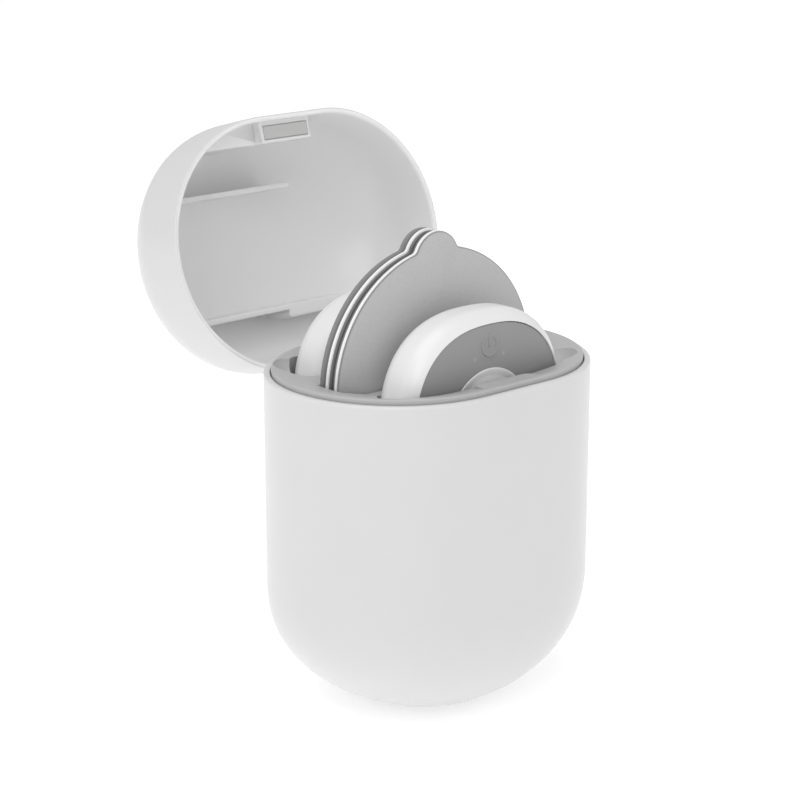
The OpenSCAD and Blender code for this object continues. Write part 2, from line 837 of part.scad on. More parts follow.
module host_snap_sockets(side) {
    color("silver") stand(side, host_y(side), host_z)
        for (end = [-1, 1]) translate([end * stud_x, snap_y, host_back_z]) difference() {
            cylinder(r = snap_r, h = host_wall);
            translate([0, 0, -over]) cylinder(r = snap_bore_r, h = host_wall - snap_back + over);
        }
}

module host_contacts(side) {
    deep = squared_drop(charge_x + contact_r);
    color("gold") stand(side, host_y(side), host_z)
        for (end = [-1, 1]) translate([end * charge_x, -deep + contact_t, 0])
            rotate([90, 0, 0]) cylinder(r = contact_r, h = contact_t);
}

module host_lights(side) {
    color("lightgray") stand(side, host_y(side), host_z)
        for (end = [-1, 1]) translate([end * light_x, light_y, host_board_z + board_t])
            cylinder(r = light_r, h = power_key_top_z - host_board_z - board_t);
}

// Outline of a pad: a disc with a round tab at the top
module pad_outline(smaller) {
    circle(r = pad_r - smaller, $fn = 96);
    translate([0, tab_y]) circle(r = tab_r - smaller);
}

module pad_layer(side, low, high, smaller) {
    stand(side, pad_y, pad_z) translate([0, 0, low - pad_t / 2])
        linear_extrude(high - low) pad_outline(smaller);
}

module pad_cover(side) {
    color("darkgray") pad_layer(side, gel_t + film_t, pad_t, 0.1);
}

module pad_film(side) {
    color("white") pad_layer(side, gel_t, gel_t + film_t, 0);
}

module pad_gel(side) {
    color("gray") pad_layer(side, 0, gel_t, 0.3);
}

module pad_studs(side) {
    color("silver") stand(side, pad_y, pad_z)
        for (end = [-1, 1]) translate([end * stud_x, pad_drop - stud_drop, pad_t / 2]) {
            cylinder(r = stud_flange_r, h = stud_flange_t);
            cylinder(r = stud_r, h = stud_flange_t + stud_h);
        }
}

case_shell();
inner_tray();
latch_magnet();
hinge_bracket();
hinge_pin();
hinge_screws();
battery_cradle();
case_battery();
charging_board();
charging_socket();
board_screws();
charge_pins(front);  // front_charge_pins
charge_pins(rear);  // rear_charge_pins
lid_shell();
latch_plate();
hinge_arm();
host_shell(front);  // front_host_shell
host_back_cover(front);  // front_host_back_cover
host_face(front);  // front_host_face
key(front, power_key_r, power_key_y, power_key_top_z);  // front_power_key
key(front, mid_key_r, 0, key_top_z);  // front_middle_key
host_board(front);  // front_host_board
host_switches(front);  // front_host_switches
host_battery(front);  // front_host_battery
host_snap_sockets(front);  // front_host_snap_sockets
host_contacts(front);  // front_host_contacts
host_lights(front);  // front_host_lights
host_shell(rear);  // rear_host_shell
host_back_cover(rear);  // rear_host_back_cover
host_face(rear);  // rear_host_face
key(rear, power_key_r, power_key_y, power_key_top_z);  // rear_power_key
key(rear, mid_key_r, 0, key_top_z);  // rear_middle_key
host_board(rear);  // rear_host_board
host_switches(rear);  // rear_host_switches
host_battery(rear);  // rear_host_battery
host_snap_sockets(rear);  // rear_host_snap_sockets
host_contacts(rear);  // rear_host_contacts
host_lights(rear);  // rear_host_lights
pad_cover(front);  // front_pad_cover
pad_film(front);  // front_pad_film
pad_gel(front);  // front_pad_gel
pad_studs(front);  // front_pad_studs
pad_cover(rear);  // rear_pad_cover
pad_film(rear);  // rear_pad_film
pad_gel(rear);  // rear_pad_gel
pad_studs(rear);  // rear_pad_studs
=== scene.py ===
"""A pocket muscle stimulation massager: two round control units and two round gel pads, kept on
edge in a charging case whose domed lid stands open. The file follows the object from the case
outwards, one section for each piece or group of like pieces. Lengths are in metres, X runs along
the case, Y from its front to its hinge, and Z up."""

import bmesh
import bpy
import numpy as np
from mathutils import Matrix, Vector


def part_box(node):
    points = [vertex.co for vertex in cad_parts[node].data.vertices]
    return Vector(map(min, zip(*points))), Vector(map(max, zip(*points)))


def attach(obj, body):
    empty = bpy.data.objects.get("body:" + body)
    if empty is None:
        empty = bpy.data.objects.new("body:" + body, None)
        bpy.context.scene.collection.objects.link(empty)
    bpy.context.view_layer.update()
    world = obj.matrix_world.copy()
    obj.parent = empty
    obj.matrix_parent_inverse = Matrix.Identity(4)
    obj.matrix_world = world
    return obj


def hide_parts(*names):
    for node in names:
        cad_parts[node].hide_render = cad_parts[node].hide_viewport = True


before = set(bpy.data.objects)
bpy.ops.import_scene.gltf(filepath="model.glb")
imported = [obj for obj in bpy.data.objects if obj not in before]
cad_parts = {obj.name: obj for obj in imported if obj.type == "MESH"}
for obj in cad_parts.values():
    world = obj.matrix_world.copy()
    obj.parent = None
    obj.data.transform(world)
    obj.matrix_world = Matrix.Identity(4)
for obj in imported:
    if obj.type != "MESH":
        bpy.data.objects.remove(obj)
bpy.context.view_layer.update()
mm = 0.001


# Case shell: the lower half of the case, one glossy white ABS moulding about 1.4 mm thick. It
# stands on a small flat, and its back wall is open for the hinge and for the charging socket.
case_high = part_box("case_shell")[1]
half_w, half_d, rim_z = case_high.x, case_high.y, case_high.z
straight = half_w - half_d
case_wall = 1.4 * mm
base_round_h = 28.5 * mm
foot_r = 9 * mm
floor_z = case_wall + 0.2 * mm
base_power, base_shorten = 2.6, 3.8  # how square the base is, how fast its straight sides shrink
straight_left = 0.03  # share of the straight sides that is left where a dome ends
rim_outer_r, rim_inner_r = 0.55 * mm, 0.3 * mm
notch_y, notch_z, notch_edge = 23.9 * mm, 66.6 * mm, 0.5 * mm
notch_past = 3 * mm  # how far the block that cuts the notch reaches past the wall
hinge_gap, slot_gap = 0.2 * mm, 0.3 * mm
slot_reach, slot_past, slot_steps = 5 * mm, 1 * mm, 48
arc_steps, run_steps = 96, 8
base_rows, side_rows, floor_rows = 64, 8, 40

arc = np.radians(np.linspace(-90, 90, arc_steps + 1))
run = np.linspace(1, -1, run_steps + 1)[1:-1]
way_round = np.concatenate([arc, run * 0 + np.pi / 2, arc + np.pi, run * 0 + 1.5 * np.pi])
way_end = np.concatenate([arc * 0 + 1, run, arc * 0 - 1, -run])


def outlines(depth, side, height):
    """Level outlines, one a row: half circles of radius depth about (side, 0) and (-side, 0),
    joined by straight sides."""
    rows = np.broadcast_arrays(depth, side, height)
    depth, side, height = (np.atleast_1d(row)[:, None] for row in rows)
    x = side * way_end + depth * np.cos(way_round)
    y = depth * np.sin(way_round)
    return np.stack([x, y, height + 0 * x], -1)


def dome(depth, start, rise, end_r, stop_r, power, shorten, rows):
    """Outlines of a dome from its wide end: at turn t its half depth is depth * cos(t)^(2/power),
    its height start + rise * sin(t)^(2/power), full at radius end_r, and its straight sides shrink
    as the half depth's share to the power shorten. It stops at radius stop_r."""
    full = np.sin(np.arccos((end_r / depth) ** (power / 2))) ** (2 / power)
    turn = np.arccos((stop_r / depth) ** (power / 2)) * np.linspace(0, 1, rows)
    share = np.cos(turn) ** (2 / power)
    side = straight * (straight_left + (1 - straight_left) * share ** shorten)
    return outlines(depth * share, side, start + rise * np.sin(turn) ** (2 / power) / full)


def skin(name, grid, loop=False):
    """Mesh through a grid of points (rows, columns, 3). Columns meet round the back. Rows meet too
    with loop, and otherwise a fan to its middle closes the first row and the last."""
    rows, cols = grid.shape[:2]
    row = np.arange(rows if loop else rows - 1)[:, None]
    col = np.arange(cols)
    after, above = (col + 1) % cols, (row + 1) % rows
    corners = [row * cols + col, row * cols + after, above * cols + after, above * cols + col]
    faces = np.stack(np.broadcast_arrays(*corners), -1).reshape(-1, 4).tolist()
    points = grid.reshape(-1, 3)
    if not loop:
        points = np.vstack([points, grid[0].mean(0), grid[-1].mean(0)])
        last = (rows - 1) * cols
        faces += np.stack([after, col, col * 0 + rows * cols], -1).tolist()
        faces += np.stack([last + col, last + after, col * 0 + rows * cols + 1], -1).tolist()
    mesh = bpy.data.meshes.new(name)
    mesh.from_pydata(points, [], faces)
    solid = bmesh.new()
    solid.from_mesh(mesh)
    bmesh.ops.remove_doubles(solid, verts=solid.verts, dist=0.001 * mm)
    bmesh.ops.recalc_face_normals(solid, faces=solid.faces)
    solid.to_mesh(mesh)
    solid.free()
    piece = bpy.data.objects.new(name, mesh)
    bpy.context.scene.collection.objects.link(piece)
    return piece


def combine(piece, others, operation):
    """Joins, cuts or intersects a closed mesh with others in order, and removes the others."""
    for other in others:
        step = piece.modifiers.new(operation, "BOOLEAN")
        step.operation, step.solver, step.object = operation, "MANIFOLD", other
    bpy.context.view_layer.update()
    shaped = piece.evaluated_get(bpy.context.evaluated_depsgraph_get())
    mesh = bpy.data.meshes.new_from_object(shaped)
    piece.modifiers.clear()
    piece.data = mesh
    for other in others:
        bpy.data.objects.remove(other)
    return piece


def rounded_block(name, low, high, edge):
    """Block between two corners with round edges: each eighth of a ball of radius edge moves out
    to its own corner, and flat faces join them."""
    steps = 4
    quarter = np.linspace(0, np.pi / 2, steps + 1)
    turn = np.concatenate([quarter + np.pi / 2 * n for n in range(4)])
    tilt = np.concatenate([quarter - np.pi / 2, quarter])[:, None]
    side_x = np.repeat([1, -1, -1, 1], steps + 1)
    side_y = np.repeat([1, 1, -1, -1], steps + 1)
    side_z = np.repeat([-1, 1], steps + 1)[:, None]
    ball = np.stack(np.broadcast_arrays(
        np.cos(tilt) * np.cos(turn), np.cos(tilt) * np.sin(turn), np.sin(tilt)), -1)
    corner = np.stack(np.broadcast_arrays(side_x, side_y, side_z), -1)
    low, high = np.array(low), np.array(high)
    return skin(name, (low + high) / 2 + corner * ((high - low) / 2 - edge) + ball * edge)


def tube(name, outline, start, end, axis=1):
    """Closed outline of points (n, 2) carried straight along an axis between two places."""
    grid = np.stack([np.insert(outline, axis, place, axis=1) for place in (start, end)])
    return skin(name, grid)


def circle(radius, steps=64):
    """Points of a circle: radius * (cos, sin) at even turns."""
    turn = np.linspace(0, 2 * np.pi, steps, endpoint=False)
    return radius * np.stack([np.cos(turn), np.sin(turn)], -1)


def finish_piece(piece, body, slot, material, *nodes, sharp=32):
    """Smooth shading up to an angle in degrees, one material, and the body it moves with; the solids
    it stands for are hidden. Its slot is not used."""
    piece.data.shade_smooth()
    piece.data.set_sharp_from_angle(angle=np.radians(sharp))
    piece.data.materials.clear()
    piece.data.materials.append(material)
    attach(piece, body)
    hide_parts(*nodes)


quarter_turn = np.radians(np.linspace(0, 90, 9))
case_rows = [
    dome(half_d, base_round_h, -base_round_h, foot_r, foot_r, base_power, base_shorten,
         base_rows)[::-1],
    outlines(half_d, straight, np.linspace(base_round_h, rim_z - rim_outer_r, side_rows)[1:]),
    outlines(half_d - rim_outer_r + rim_outer_r * np.cos(quarter_turn), straight,
             rim_z - rim_outer_r + rim_outer_r * np.sin(quarter_turn))[1:],
    outlines(half_d - case_wall + rim_inner_r - rim_inner_r * np.sin(quarter_turn), straight,
             rim_z - rim_inner_r + rim_inner_r * np.cos(quarter_turn)),
    dome(half_d - case_wall, base_round_h, floor_z - base_round_h, foot_r - case_wall / 2,
         foot_r - case_wall / 2, base_power, base_shorten, floor_rows),
]
case = skin("case_shell_moulding", np.concatenate(case_rows))

bracket_low, bracket_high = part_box("hinge_bracket")
notch = rounded_block(
    "notch", (bracket_low.x - hinge_gap, notch_y, notch_z),
    (bracket_high.x + hinge_gap, half_d + notch_past, rim_z + notch_past), notch_edge)
socket_low, socket_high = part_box("charging_socket")
slot_r = (socket_high.z - socket_low.z) / 2
slot_side = (socket_high.x - socket_low.x) / 2 - slot_r
# Its points start half a step on, so that none falls on the line between its two round ends.
slot_turn = np.linspace(0, 2 * np.pi, slot_steps, endpoint=False) + np.pi / slot_steps
slot_outline = np.stack([
    slot_side * np.sign(np.cos(slot_turn)) + (slot_r + slot_gap) * np.cos(slot_turn),
    (socket_low.z + socket_high.z) / 2 + (slot_r + slot_gap) * np.sin(slot_turn)], -1)
socket_slot = tube("socket_slot", slot_outline, half_d - slot_reach, half_d + slot_past)
combine(case, [notch, socket_slot], "DIFFERENCE")


def linear(code):
    """Linear colour of an sRGB hex value."""
    part = np.array([int(code[n:n + 2], 16) / 255 for n in (1, 3, 5)])
    value = np.where(part <= 0.04045, part / 12.92, ((part + 0.055) / 1.055) ** 2.4)
    return (*value.tolist(), 1.0)


def add(tree, kind, settings=None, **inputs):
    """Adds a node with its own settings, and gives each named input a value or links it."""
    made = tree.nodes.new(kind)
    for name, value in (settings or {}).items():
        setattr(made, name, value)
    for name, value in inputs.items():
        socket = made.inputs[name.replace("_", " ")]
        if isinstance(value, bpy.types.NodeSocket):
            tree.links.new(value, socket)
        else:
            socket.default_value = value
    return made


def moulded(name, colour, shade, roughness, grain, relief, gloss=0.0, ior=1.53):
    """Material of a moulded piece: its colour drifts a little between two shades over drift_w, and
    fine noise of the size grain gives its surface a relief and its roughness a slight change."""
    drift_w, polish_change = 15 * mm, 0.04
    material = bpy.data.materials.new(name)
    material.use_nodes = True
    tree = material.node_tree
    shader = tree.nodes["Principled BSDF"]
    place = add(tree, "ShaderNodeTexCoord").outputs["Object"]
    drift = add(tree, "ShaderNodeTexNoise", Vector=place, Scale=1 / drift_w, Detail=2.0)
    tone = add(tree, "ShaderNodeMix", {"data_type": "RGBA"}, Factor=drift.outputs["Fac"])
    tone.inputs["A"].default_value = linear(colour)
    tone.inputs["B"].default_value = linear(shade)
    fine = add(tree, "ShaderNodeTexNoise", Vector=place, Scale=1 / grain, Detail=3.0)
    polish = add(tree, "ShaderNodeMapRange", Value=fine.outputs["Fac"],
                 To_Min=roughness - polish_change, To_Max=roughness + polish_change)
    bump = add(tree, "ShaderNodeBump", Height=fine.outputs["Fac"], Distance=relief, Strength=1.0)
    tree.links.new(tone.outputs["Result"], shader.inputs["Base Color"])
    tree.links.new(polish.outputs["Result"], shader.inputs["Roughness"])
    tree.links.new(bump.outputs["Normal"], shader.inputs["Normal"])
    shader.inputs["IOR"].default_value = ior
    shader.inputs["Coat Weight"].default_value = gloss
    return material


def second_tone(material, attribute, colour):
    """Mixes the base colour with another, by a piece's own attribute that runs from 0 to 1."""
    tree = material.node_tree
    base = tree.nodes["Principled BSDF"].inputs["Base Color"]
    marked = add(tree, "ShaderNodeAttribute", {"attribute_name": attribute})
    tone = add(tree, "ShaderNodeMix", {"data_type": "RGBA"}, Factor=marked.outputs["Fac"])
    tree.links.new(base.links[0].from_socket, tone.inputs["A"])
    tone.inputs["B"].default_value = linear(colour)
    tree.links.new(tone.outputs["Result"], base)


# Moulded ABS, polished tool: a soft clean white with a satin gloss and hardly any grain, whose
# size of 0.4 mm is as coarse as it needs to show. Some light passes into it and spreads 1.5 mm, so
# its shadows stay soft. Where a point is marked inside, its colour is painted a lighter white:
# painted light in the hollow of the open lid.
white_abs = moulded("white_abs_moulded", "#d9d9d9", "#d6d6d6", 0.3, 0.4 * mm, 0.0015 * mm,
                    gloss=0.15)
# The lid's inside is painted a lighter white, as painted light in its hollow.
second_tone(white_abs, "inside", "#f0f0f0")
glow = white_abs.node_tree.nodes["Principled BSDF"].inputs
glow["Subsurface Weight"].default_value = 0.5
glow["Subsurface Radius"].default_value = (1, 1, 1)
glow["Subsurface Scale"].default_value = 1.5 * mm
finish_piece(case, "case", "white_shell", white_abs, "case_shell")


# Inner tray: a light grey satin ABS moulding that drops into the case. Its raised collar, sloping
# dish, pockets for units and pads, seats for hinge and magnet, and finger scoops are one piece.
tray_wall, tray_fit = 1.2 * mm, 0.2 * mm
tray_r = half_d - case_wall - tray_fit
collar_h, collar_w, collar_edge = 1.0 * mm, 1.1 * mm, 0.3 * mm
dish_d, dish_r = 1.9 * mm, 13.3 * mm
dish_foot_r, collar_foot_r = 6 * mm, 0.35 * mm
skirt_d = 22 * mm
pocket_gap, pocket_edge = 0.35 * mm, 4.1 * mm
row_step = 0.8 * mm  # the rows of the dish lie close, so that its shading stays even at the scoops


def soft_path(corners, radii):
    """Path of points through corners (n, 2). Each corner with a radius becomes an arc that touches
    both of its sides: its centre lies radius / sin(half the corner's angle) in from the corner."""
    corners = np.array(corners, float)
    steps, path = 6, []
    for n, radius in enumerate(radii):
        here = corners[n]
        if not radius:
            path.append(here[None])
            continue
        back, on = (corners[m] - here for m in (n - 1, (n + 1) % len(corners)))
        back, on = back / np.linalg.norm(back), on / np.linalg.norm(on)
        half = np.arccos(np.clip(back @ on, -1, 1)) / 2
        centre = here + (back + on) / np.linalg.norm(back + on) * radius / np.sin(half)
        first = here + back * radius / np.tan(half) - centre
        last = here + on * radius / np.tan(half) - centre
        sweep, part = np.pi - 2 * half, np.linspace(0, 1, steps + 1)[:, None]
        spoke = np.sin((1 - part) * sweep) * first + np.sin(part * sweep) * last
        path.append(centre + spoke / np.sin(sweep))
    return np.concatenate(path)


def finer(path, step):
    """Adds points to a path so that they lie no further apart than step."""
    pieces = [np.linspace(a, b, int(np.ceil(np.linalg.norm(b - a) / step)) + 1)[:-1]
              for a, b in zip(path[:-1], path[1:])]
    return np.vstack([*pieces, path[-1:]])


def swept(name, profile):
    """Profile of (distance from the middle line, height) carried round the case outline, and
    closed level at its first and last point."""
    return skin(name, outlines(profile[:, 0], straight, rim_z + profile[:, 1]))


near = 1 * mm  # where a profile starts, just off the middle line
tray_profile = soft_path(
    [(near, -dish_d), (dish_r, -dish_d), (tray_r - collar_w, collar_h), (tray_r, collar_h),
     (tray_r, -skirt_d), (tray_r - tray_wall, -skirt_d),
     (tray_r - tray_wall, collar_h - tray_wall - collar_w), (dish_r, -dish_d - tray_wall),
     (near, -dish_d - tray_wall)],
    [0, dish_foot_r, collar_foot_r, collar_edge, 0, 0, 0, 0, 0])
tray = swept("inner_tray_moulding", finer(tray_profile, row_step))
# The space under the dish, up to the middle of its wall: what is added below is held inside it.
wall_mid = tray_wall / 2
under_dish = swept("under_dish", np.array([
    (near, -dish_d - wall_mid), (dish_r, -dish_d - wall_mid),
    (tray_r - wall_mid, collar_h - wall_mid - collar_w / 2),
    (tray_r - wall_mid, -rim_z / 2), (near, -rim_z / 2)]))

unit_high, rear_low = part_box("front_host_shell")[1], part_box("rear_host_shell")[0]
unit_r = unit_high.x
unit_t, rear_in = 11.6 * mm, 0.4 * mm  # rear_in is how much nearer to the pads the rear unit is
unit_z = unit_high.z - unit_r
unit_power = 2.43  # how square the unit's round outline is: 2 is a circle
unit_y = {"front": unit_high.y - unit_t / 2, "rear": rear_low.y + unit_t / 2 - rear_in}
pad_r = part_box("front_pad_film")[1].x
pads_low, pads_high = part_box("front_pad_cover")[0].y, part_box("rear_pad_cover")[1].y
pad_z = 70.8 * mm


def around(turn, power):
    """Points of a round of radius 1, squared where power is over 2: |x|^power + |y|^power = 1."""
    x, y = np.cos(turn), np.sin(turn)
    reach = (np.abs(x) ** power + np.abs(y) ** power) ** (-1 / power)
    return np.stack([x * reach, y * reach], -1)


def pocket(name, low_y, high_y, radius, centre_z, top, power, edge):
    """Room of a round piece that is lowered in on edge: the lower half of its outline, and
    straight sides above its middle up to a top. Towards both ends, at low_y and high_y, it rounds
    in by a quarter circle of radius edge."""
    turn = np.concatenate([quarter_turn[::-1], quarter_turn])
    into = edge * (1 - np.sin(turn))
    places = np.where(np.arange(len(turn)) < len(quarter_turn), low_y + into, high_y - into)
    rows = []
    for place, r in zip(places, radius - edge * (1 - np.cos(turn))):
        arch = r * around(np.radians(np.linspace(180, 360, 97)), power) + (0, centre_z)
        rows.append(np.insert(np.vstack([arch, [(r, top), (-r, top)]]), 1, place, axis=1))
    return skin(name, np.stack(rows))


def pockets(margin, top, pads_margin):
    """Rooms of the two units and of the pads, larger all round by a margin, and the pads' room
    along the stack by a margin of its own."""
    made = [pocket(side, y - unit_t / 2 - pocket_gap - margin, y + unit_t / 2 + pocket_gap + margin,
                   unit_r + pocket_gap + margin, unit_z, top, unit_power, pocket_edge + margin)
            for side, y in unit_y.items()]
    made.append(pocket("pads", pads_low - pocket_gap - pads_margin,
                       pads_high + pocket_gap + pads_margin,
                       pad_r + pocket_gap + margin, pad_z, top, 2, pocket_gap))
    return made


scoop_r, scoop_depth, scoop_out = 6 * mm, 2.7 * mm, 14.2 * mm
scoop_x, scoop_z = straight + scoop_out, rim_z + scoop_r - scoop_depth


def scoops(radius):
    """Balls of a radius that leave a finger scoop at both ends of each control unit."""
    turn = np.linspace(0, 2 * np.pi, 72, endpoint=False)
    tilt = np.radians(np.linspace(-89, 89, 48))[:, None]
    ball = radius * np.stack(np.broadcast_arrays(
        np.cos(tilt) * np.cos(turn), np.cos(tilt) * np.sin(turn), np.sin(tilt)), -1)
    return [skin("scoop", ball + (end * scoop_x, y, scoop_z))
            for y in unit_y.values() for end in (-1, 1)]


# First what is added: a wall round each pocket and scoop, a boss under the hinge bracket, and the
# magnet's box, which has a round corner at its right and stops just below the collar's top.
partition_t, crisp = 2.4 * mm, 0.1 * mm
magnet_box_x, magnet_box_y = 7.6 * mm, -21.9 * mm
magnet_box_corners, magnet_box_step = [0, 0, 2 * mm, 0.3 * mm], 0.05 * mm
tubs = pockets(tray_wall, rim_z, partition_t - wall_mid)
tubs += scoops(scoop_r + tray_wall)
tubs.append(rounded_block("bracket_boss", (bracket_low.x, unit_y["rear"], bracket_low.z),
                          (bracket_high.x, bracket_low.y, rim_z - dish_d), crisp))
walls = combine(tubs[0], tubs[1:], "UNION")
combine(walls, [under_dish], "INTERSECT")
magnet_box = tube("magnet_box", soft_path(
    [(-magnet_box_x, -tray_r + wall_mid), (magnet_box_x, -tray_r + wall_mid),
     (magnet_box_x, magnet_box_y), (-magnet_box_x, magnet_box_y)], magnet_box_corners),
    rim_z - 2 * dish_d, rim_z + collar_h - magnet_box_step, axis=2)
combine(tray, [walls, magnet_box], "UNION")

# Then what is cut: the pockets and scoops themselves, two channels that the pads' studs slide down,
# the seats of bracket and magnet, and two holes for the charging pins under each unit.
cut_top = rim_z + 5 * mm
stud_x, stud_z, stud_half = 8 * mm, 61 * mm, 3.45 * mm
stud_room, stud_edge = 1.55 * mm, 0.2 * mm
seat_low, seat_past = bracket_low.z - tray_wall, 1 * mm
magnet_gap, magnet_depth, magnet_edge = 0.1 * mm, 2.5 * mm, 0.05 * mm
pin_x, pin_hole_r, pin_hole_low, pin_hole_high = 3 * mm, 1 * mm, 36 * mm, 42 * mm
gaps = pockets(0, rim_z + 2 * pad_r, 0) + scoops(scoop_r)
gaps += [rounded_block("stud_channel", (side * stud_x - stud_half,
                                        pads_low - pocket_gap - stud_room, stud_z - stud_half),
                       (side * stud_x + stud_half, pads_high + pocket_gap + stud_room, cut_top),
                       stud_edge) for side in (-1, 1)]
gaps.append(rounded_block("bracket_seat", (bracket_low.x - hinge_gap, bracket_low.y, seat_low),
                          (bracket_high.x + hinge_gap, half_d + seat_past, cut_top), crisp))
magnet_low, magnet_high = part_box("latch_magnet")
gaps.append(rounded_block("magnet_seat",
                          magnet_low - Vector((magnet_gap, magnet_gap, magnet_depth)),
                          magnet_high + Vector((magnet_gap, magnet_gap, 0)), magnet_edge))
gaps += [tube("pin_hole", circle(pin_hole_r, 32) + (side * pin_x, y),
              pin_hole_low, pin_hole_high, axis=2) for y in unit_y.values() for side in (-1, 1)]
combine(tray, [combine(gaps[0], gaps[1:], "UNION")], "DIFFERENCE")

# Moulded ABS from a lightly blasted tool: light grey and satin, with a faint even grain, drawn as
# coarse as it needs to show.
grey_abs = moulded("grey_abs_satin", "#b9b9b9", "#b6b6b6", 0.42, 0.35 * mm, 0.004 * mm)
finish_piece(tray, "case", "grey_tray", grey_abs, "inner_tray")


# Lid: the domed upper half, one glossy white ABS moulding about 1.2 mm thick. Inside it has two
# stiffening ribs, the catch block with a ledge beside it, and two stakes that hold the hinge arm.
# It is worked out as it stands when shut and then swung open about the hinge pin.
pin_low, pin_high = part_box("hinge_pin")
hinge_y, hinge_z = (pin_low.y + pin_high.y) / 2, (pin_low.z + pin_high.z) / 2
lid_open, lid_gap = np.radians(105), 0.3 * mm
lid_z = rim_z + lid_gap
lid_h, lid_round_h, lid_wall = 33 * mm, 22.4 * mm, 1.2 * mm
lid_side = lid_h - lid_round_h
lid_power, lid_shorten = 2.17, 3.3
crown_r, crown_stop_r = 3 * mm, 0.2 * mm
lid_outer_r, lid_inner_r = 0.3 * mm, 0.85 * mm
lid_in_rows, lid_side_rows, lid_out_rows, lid_middle_rows = 56, 6, 72, 40


def swing(points):
    """Turns points back about the hinge pin by the angle lid_open, from shut to open."""
    y, z = points[..., 1] - hinge_y, points[..., 2] - hinge_z
    turned = (hinge_y + y * np.cos(lid_open) + z * np.sin(lid_open),
              hinge_z - y * np.sin(lid_open) + z * np.cos(lid_open))
    return np.stack([points[..., 0], *turned], -1)


def surface(piece):
    """Points of a mesh and the directions it faces there, as two arrays."""
    mesh = piece.data
    points, normals = np.empty(len(mesh.vertices) * 3), np.empty(len(mesh.vertices) * 3)
    mesh.vertices.foreach_get("co", points)
    mesh.vertex_normals.foreach_get("vector", normals)
    return points.reshape(-1, 3), normals.reshape(-1, 3)


def mark(piece, name, values):
    """Gives each point of a mesh a number, under a name that its material reads."""
    made = piece.data.attributes.new(name, "FLOAT", "POINT")
    made.data.foreach_set("value", values.astype(float))


def moved(piece, move):
    """Moves every point of a mesh by a function of points."""
    piece.data.vertices.foreach_set("co", move(surface(piece)[0]).ravel())
    piece.data.update()
    return piece


def lid_dome(inset, rows):
    """The lid's dome, drawn in by inset all over: its full height is reached at radius crown_r."""
    return dome(half_d - inset, lid_z + lid_side, lid_round_h - inset, crown_r, crown_stop_r,
                lid_power, lid_shorten, rows)


lid_rows = [
    lid_dome(lid_wall, lid_in_rows)[::-1],
    outlines(half_d - lid_wall, straight,
             np.linspace(lid_z + lid_side, lid_z + lid_inner_r, lid_side_rows)[1:]),
    outlines(half_d - lid_wall + lid_inner_r - lid_inner_r * np.cos(quarter_turn), straight,
             lid_z + lid_inner_r - lid_inner_r * np.sin(quarter_turn))[1:],
    outlines(half_d - lid_outer_r + lid_outer_r * np.sin(quarter_turn), straight,
             lid_z + lid_outer_r - lid_outer_r * np.cos(quarter_turn)),
    lid_dome(0, lid_out_rows),
]
lid = skin("lid_shell_moulding", np.concatenate(lid_rows))
# The space inside the lid, up to the middle of its wall: ribs and blocks reach past it and are held
# inside it.
middle_low = lid_z - 1 * mm
lid_middle = skin("lid_middle", np.concatenate([
    outlines(half_d - lid_wall / 2, straight, middle_low), lid_dome(lid_wall / 2, lid_middle_rows)]))
rib_t, rib_z, rib_edge = 1.2 * mm, lid_z + 18 * mm, 0.35 * mm
front_rib_y, front_rib_end = -12.2 * mm, 10 * mm
back_rib_y, back_rib_end = 14 * mm, 5 * mm
thick_x, thick_end, thick_t, thick_edge = 4 * mm, 22 * mm, 3 * mm, 0.6 * mm
catch_x, catch_z, catch_h, catch_edge = 6.9 * mm, lid_z + 3 * mm, 5 * mm, 0.5 * mm
ledge_end, ledge_z = 1 * mm - catch_x, catch_z + 2.5 * mm
front_y, crown_z, lap = -half_d - 5 * mm, lid_z + lid_h + 2 * mm, 0.1 * mm
# Low corner, high corner and edge radius of the front rib, the back rib, the thicker end of the
# back rib, the ledge beside the catch block, and the catch block.
ribs = [
    ((-half_w, front_rib_y - rib_t, rib_z), (front_rib_end, front_rib_y, crown_z), rib_edge),
    ((-half_w, back_rib_y, rib_z), (back_rib_end, back_rib_y + rib_t, crown_z), rib_edge),
    ((thick_x, back_rib_y - lap, rib_z), (thick_end, back_rib_y + thick_t, crown_z), thick_edge),
    ((-half_w, front_y, ledge_z), (ledge_end, magnet_box_y - lap, crown_z), catch_edge),
    ((-catch_x, front_y, catch_z), (catch_x, magnet_box_y, catch_z + catch_h), catch_edge),
]
fittings = [rounded_block("rib", *rib) for rib in ribs]
combine(fittings[0], fittings[1:], "UNION")
combine(fittings[0], [lid_middle], "INTERSECT")
stake_r, stake_x, stake_z, stake_y = 1 * mm, 2.7 * mm, lid_z + 7 * mm, 24.4 * mm
stakes = [tube("stake", circle(stake_r, 32) + (side * stake_x, stake_z),
               stake_y, half_d - lid_wall / 2) for side in (-1, 1)]
combine(lid, [fittings[0], *stakes], "UNION")
plate_x, plate_low_y, plate_high_y, plate_t = 6 * mm, -25.55 * mm, -22.75 * mm, 0.8 * mm
plate_gap, plate_edge, plate_past = 0.15 * mm, 0.05 * mm, 2 * mm
combine(lid, [rounded_block(
    "plate_seat", (-plate_x - plate_gap, plate_low_y - plate_gap, catch_z - plate_past),
    (plate_x + plate_gap, plate_high_y + plate_gap, catch_z + plate_t + plate_edge),
    plate_edge)], "DIFFERENCE")
# A point is marked inside, and its colour painted lighter as painted light, where it faces towards
# the middle of the lid's opening: how far it lies from there along its own facing is then below
# zero, or close to zero on the rim.
lid_points, lid_facing = surface(lid)
outward, rim_outward = ((lid_points - (0, 0, lid_z)) * lid_facing).sum(1), 0.5 * mm
mark(lid, "inside", outward < rim_outward)
moved(lid, swing)
finish_piece(lid, "lid", "white_shell", white_abs, "lid_shell")


